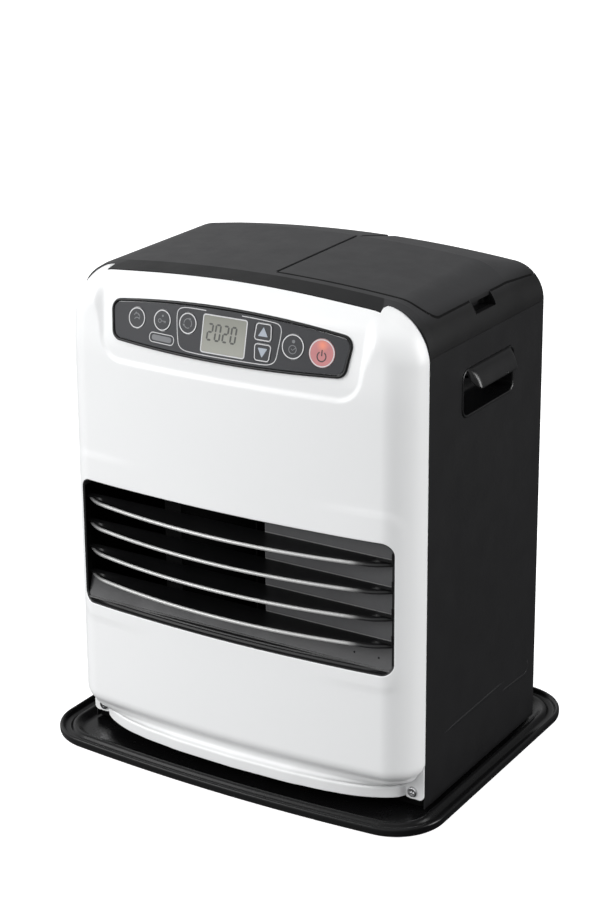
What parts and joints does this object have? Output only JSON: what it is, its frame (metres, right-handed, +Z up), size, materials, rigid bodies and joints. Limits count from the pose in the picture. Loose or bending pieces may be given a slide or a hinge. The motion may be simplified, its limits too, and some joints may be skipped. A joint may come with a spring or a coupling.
{
  "type": "paraffin fan heater",
  "caption": "Portable paraffin fan heater: white bowed front with louvred hot air outlet and leaning control panel, dark crowned top with hinged tank lid, dark drip tray.",
  "frame": {"origin": "centre of the drip tray's footprint, on the floor", "axes": "+Z up, front with the outlet and the controls towards -Y, +X to the right as seen from the front"},
  "size_m": [0.371, 0.299, 0.427],
  "materials": {
    "black_plastic": "fine grain",
    "dark_plastic": "fine grain",
    "black_rubber": "matt",
    "galvanised_sheet": "zinc coated",
    "dark_coated_steel": "fine texture coat",
    "rear_sheet": "satin",
    "black_screws": "satin",
    "plated_steel": "bright",
    "white_coated_steel": "semi-gloss",
    "black_gloss_plastic": "gloss",
    "panel_film": "satin",
    "dark_key": "satin",
    "red_key": "translucent satin",
    "clear_window": "clear",
    "lcd_glass": "satin",
    "circuit_board": "satin",
    "switch_bodies": "satin",
    "outlet_steel": "heat-proof satin, bright rolled edge",
    "aluminised_sheet": "dull",
    "heat_steel": "heat tinted",
    "cast_burner": "rough",
    "motor_steel": "dull",
    "grey_plastic": "satin",
    "fan_aluminium": "satin",
    "filter_plastic": "woven mesh in a moulded frame",
    "cap_plastic": "satin",
    "copper_pipe": "dull"
  },
  "bodies": {
    "heater": {"drip_tray": "black_plastic", "rubber_feet": "black_rubber", "base_pan": "galvanised_sheet", "left_side_panel": "dark_coated_steel", "right_side_panel": "dark_coated_steel", "left_handle": "dark_plastic", "right_handle": "dark_plastic", "rear_panel": "rear_sheet", "rear_panel_screws": "black_screws", "cord_inlet": "black_plastic", "top_cover": "dark_plastic", "lid_hinge_pin": "plated_steel", "front_panel": "white_coated_steel", "front_panel_screws": "plated_steel", "control_bezel": "black_gloss_plastic", "keypad_overlay": "panel_film", "display_window": "clear_window", "lcd_display": "lcd_glass", "control_board": "circuit_board", "tact_switches": "switch_bodies", "control_rear_cover": "black_plastic", "louvre_blade_1": "outlet_steel", "louvre_blade_2": "outlet_steel", "louvre_blade_3": "outlet_steel", "louvre_blade_4": "outlet_steel", "louvre_brackets": "outlet_steel", "outlet_blanking_plate": "aluminised_sheet", "outlet_floor_plate": "aluminised_sheet", "air_duct": "aluminised_sheet", "combustion_chamber": "heat_steel", "burner_pot": "cast_burner", "igniter": "plated_steel", "flame_sensor": "plated_steel", "blower_housing": "aluminised_sheet", "blower_motor": "motor_steel", "fan_motor": "motor_steel", "fan_guard": "dark_plastic", "fuel_sump": "galvanised_sheet", "tank_receiver": "grey_plastic", "tank_compartment": "galvanised_sheet", "fuel_pump": "motor_steel", "fuel_pipe": "copper_pipe", "power_board": "circuit_board", "tilt_switch": "black_plastic", "room_thermistor": "grey_plastic"},
    "lid": {"tank_lid": "dark_plastic"},
    "tank": {"fuel_tank": "galvanised_sheet", "tank_cap": "cap_plastic", "tank_gauge": "clear_window"},
    "tank_bail": {"tank_handle": "plated_steel"},
    "fan": {"circulation_fan": "fan_aluminium"},
    "impeller": {"blower_impeller": "grey_plastic"},
    "filter": {"rear_filter": "filter_plastic"},
    "economy_key_body": {"economy_key": "dark_key"},
    "child_lock_key_body": {"child_lock_key": "dark_key"},
    "mode_key_body": {"mode_key": "dark_key"},
    "timer_key_body": {"timer_key": "dark_key"},
    "power_key_body": {"power_key": "red_key"},
    "up_key_body": {"up_key": "dark_key"},
    "down_key_body": {"down_key": "dark_key"}
  },
  "joints": [
    {"name": "lid_hinge", "type": "hinge", "parent": "heater", "child": "lid", "pos_m": [0.019, -0.072, 0.42087], "axis": [0, -0.9998, -0.0222], "range_deg": [0, 95]},
    {"name": "tank_lift", "type": "slide", "parent": "heater", "child": "tank", "axis": [0, 0, 1], "range_m": [0, 0.018]},
    {"name": "tank_handle_pivot", "type": "hinge", "parent": "tank", "child": "tank_bail", "pos_m": [0.076, 0.018, 0.356], "axis": [0, -1, 0], "range_deg": [0, 90]},
    {"name": "fan_spin", "type": "hinge", "parent": "heater", "child": "fan", "pos_m": [-0.068, 0.096, 0.195], "axis": [0, 1, 0], "continuous": true},
    {"name": "impeller_spin", "type": "hinge", "parent": "heater", "child": "impeller", "pos_m": [-0.068, -0.005, 0.04], "axis": [0, 0, 1], "continuous": true},
    {"name": "filter_slide", "type": "slide", "parent": "heater", "child": "filter", "axis": [0, 0, 1], "range_m": [0, 0.11]},
    {"name": "economy_key_press", "type": "slide", "parent": "heater", "child": "economy_key_body", "axis": [0.0745, 0.9736, -0.2158], "range_m": [0, 0.0007], "stiffness_N_per_m": 500, "springref_m": -0.0005},
    {"name": "child_lock_key_press", "type": "slide", "parent": "heater", "child": "child_lock_key_body", "axis": [0.0522, 0.975, -0.2161], "range_m": [0, 0.0007], "stiffness_N_per_m": 500, "springref_m": -0.0005},
    {"name": "mode_key_press", "type": "slide", "parent": "heater", "child": "mode_key_body", "axis": [0.0303, 0.9758, -0.2163], "range_m": [0, 0.0007], "stiffness_N_per_m": 500, "springref_m": -0.0005},
    {"name": "timer_key_press", "type": "slide", "parent": "heater", "child": "timer_key_body", "axis": [-0.0544, 0.9749, -0.2161], "range_m": [0, 0.0007], "stiffness_N_per_m": 500, "springref_m": -0.0005},
    {"name": "power_key_press", "type": "slide", "parent": "heater", "child": "power_key_body", "axis": [-0.0762, 0.9735, -0.2158], "range_m": [0, 0.0007], "stiffness_N_per_m": 500, "springref_m": -0.0005},
    {"name": "up_key_press", "type": "slide", "parent": "heater", "child": "up_key_body", "axis": [-0.0309, 0.9758, -0.2163], "range_m": [0, 0.0007], "stiffness_N_per_m": 500, "springref_m": -0.0005},
    {"name": "down_key_press", "type": "slide", "parent": "heater", "child": "down_key_body", "axis": [-0.0316, 0.9758, -0.2163], "range_m": [0, 0.0007], "stiffness_N_per_m": 500, "springref_m": -0.0005}
  ]
}
